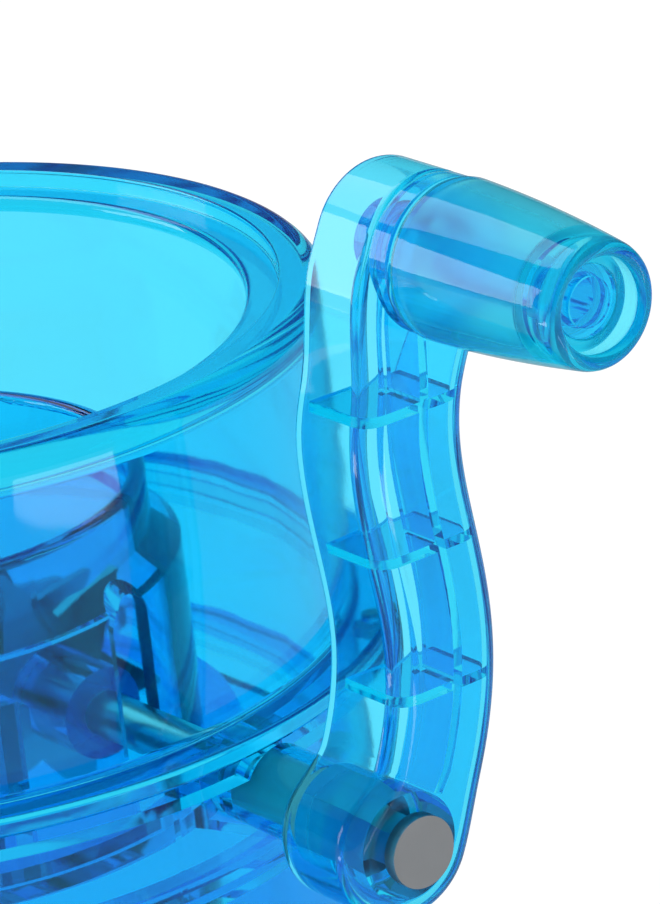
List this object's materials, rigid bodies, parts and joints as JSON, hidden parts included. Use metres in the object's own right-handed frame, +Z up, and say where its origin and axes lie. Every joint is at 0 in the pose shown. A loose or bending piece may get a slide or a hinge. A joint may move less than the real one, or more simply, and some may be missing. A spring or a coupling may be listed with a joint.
{
  "type": "hand-crank ice crusher",
  "caption": "Clear blue round ice crusher with an open rimmed tub, stepped feed tube, toothed rotor, S-shaped side crank with a tapered knob, and a pull-out ice drawer.",
  "frame": {"origin": "centre of the tub's axis on the plane that the rubber feet stand on", "axes": "+Z up along the tub's axis; +X towards the crank; -Y towards the drawer's front"},
  "size_m": [0.2621, 0.176, 0.2227],
  "materials": {
    "clear_blue": "clear tinted, polished",
    "deep_blue": "clear tinted, thick",
    "natural_clear": "clear, untinted",
    "steel": "brushed stainless",
    "fastener_steel": "bright zinc",
    "bush_plastic": "natural acetal",
    "foot_rubber": "matt"
  },
  "bodies": {
    "root": {"tub": "clear_blue", "feed_tube": "deep_blue", "tube_carrier": "clear_blue", "carrier_screws": "fastener_steel", "housing": "clear_blue", "base_plate": "deep_blue", "rubber_feet": "foot_rubber", "base_screws": "fastener_steel", "seam_screws_set": "fastener_steel", "fixed_comb": "steel", "comb_screws": "fastener_steel", "bush_right": "bush_plastic", "bush_left": "bush_plastic", "shaft_cap": "clear_blue"},
    "crank": {"drive_shaft": "steel", "rotor_blade_1": "steel", "rotor_blade_2": "steel", "rotor_blade_3": "steel", "rotor_blade_4": "steel", "rotor_spacers": "deep_blue", "thrust_washer": "fastener_steel", "retaining_clip": "fastener_steel", "crank_arm": "clear_blue", "hub_screw": "fastener_steel", "knob_spindle": "natural_clear", "knob_washer": "natural_clear"},
    "knob": {"crank_knob": "clear_blue", "knob_plug": "deep_blue"},
    "drawer": {"ice_drawer": "clear_blue"}
  },
  "joints": [
    {"name": "crank_turn", "type": "hinge", "parent": "root", "child": "crank", "pos_m": [0.1, 0.0165, 0.115], "axis": [1, 0, 0], "continuous": true},
    {"name": "knob_spin", "type": "hinge", "parent": "crank", "child": "knob", "pos_m": [0.14, 0.0333, 0.2096], "axis": [1, 0, 0], "continuous": true},
    {"name": "drawer_slide", "type": "slide", "parent": "root", "child": "drawer", "axis": [0, -1, 0], "range_m": [0, 0.14]}
  ]
}
